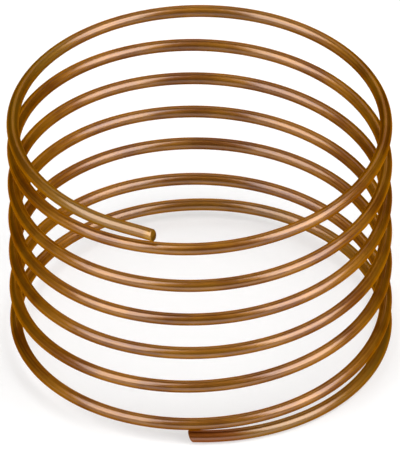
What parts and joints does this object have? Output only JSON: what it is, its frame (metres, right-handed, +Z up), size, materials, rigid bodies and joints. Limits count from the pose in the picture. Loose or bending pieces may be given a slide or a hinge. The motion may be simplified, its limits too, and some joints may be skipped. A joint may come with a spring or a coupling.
{
  "type": "compression spring",
  "caption": "Short, wide compression spring of thin round copper-coloured wire, wound right-handed, with closed, sheared ends.",
  "frame": {"origin": "on the coil's axis, at the level of the lowest point of the lower end turn", "axes": "+Z up along the coil's axis towards the upper end turn, -Y the front, near which both wire tips lie"},
  "size_m": [0.036, 0.036, 0.0248],
  "materials": {
    "spring_wire": "drawn copper-alloy wire, satin, lightly tarnished"
  },
  "bodies": {
    "root": {"coil_spring": "spring_wire"}
  },
  "joints": []
}
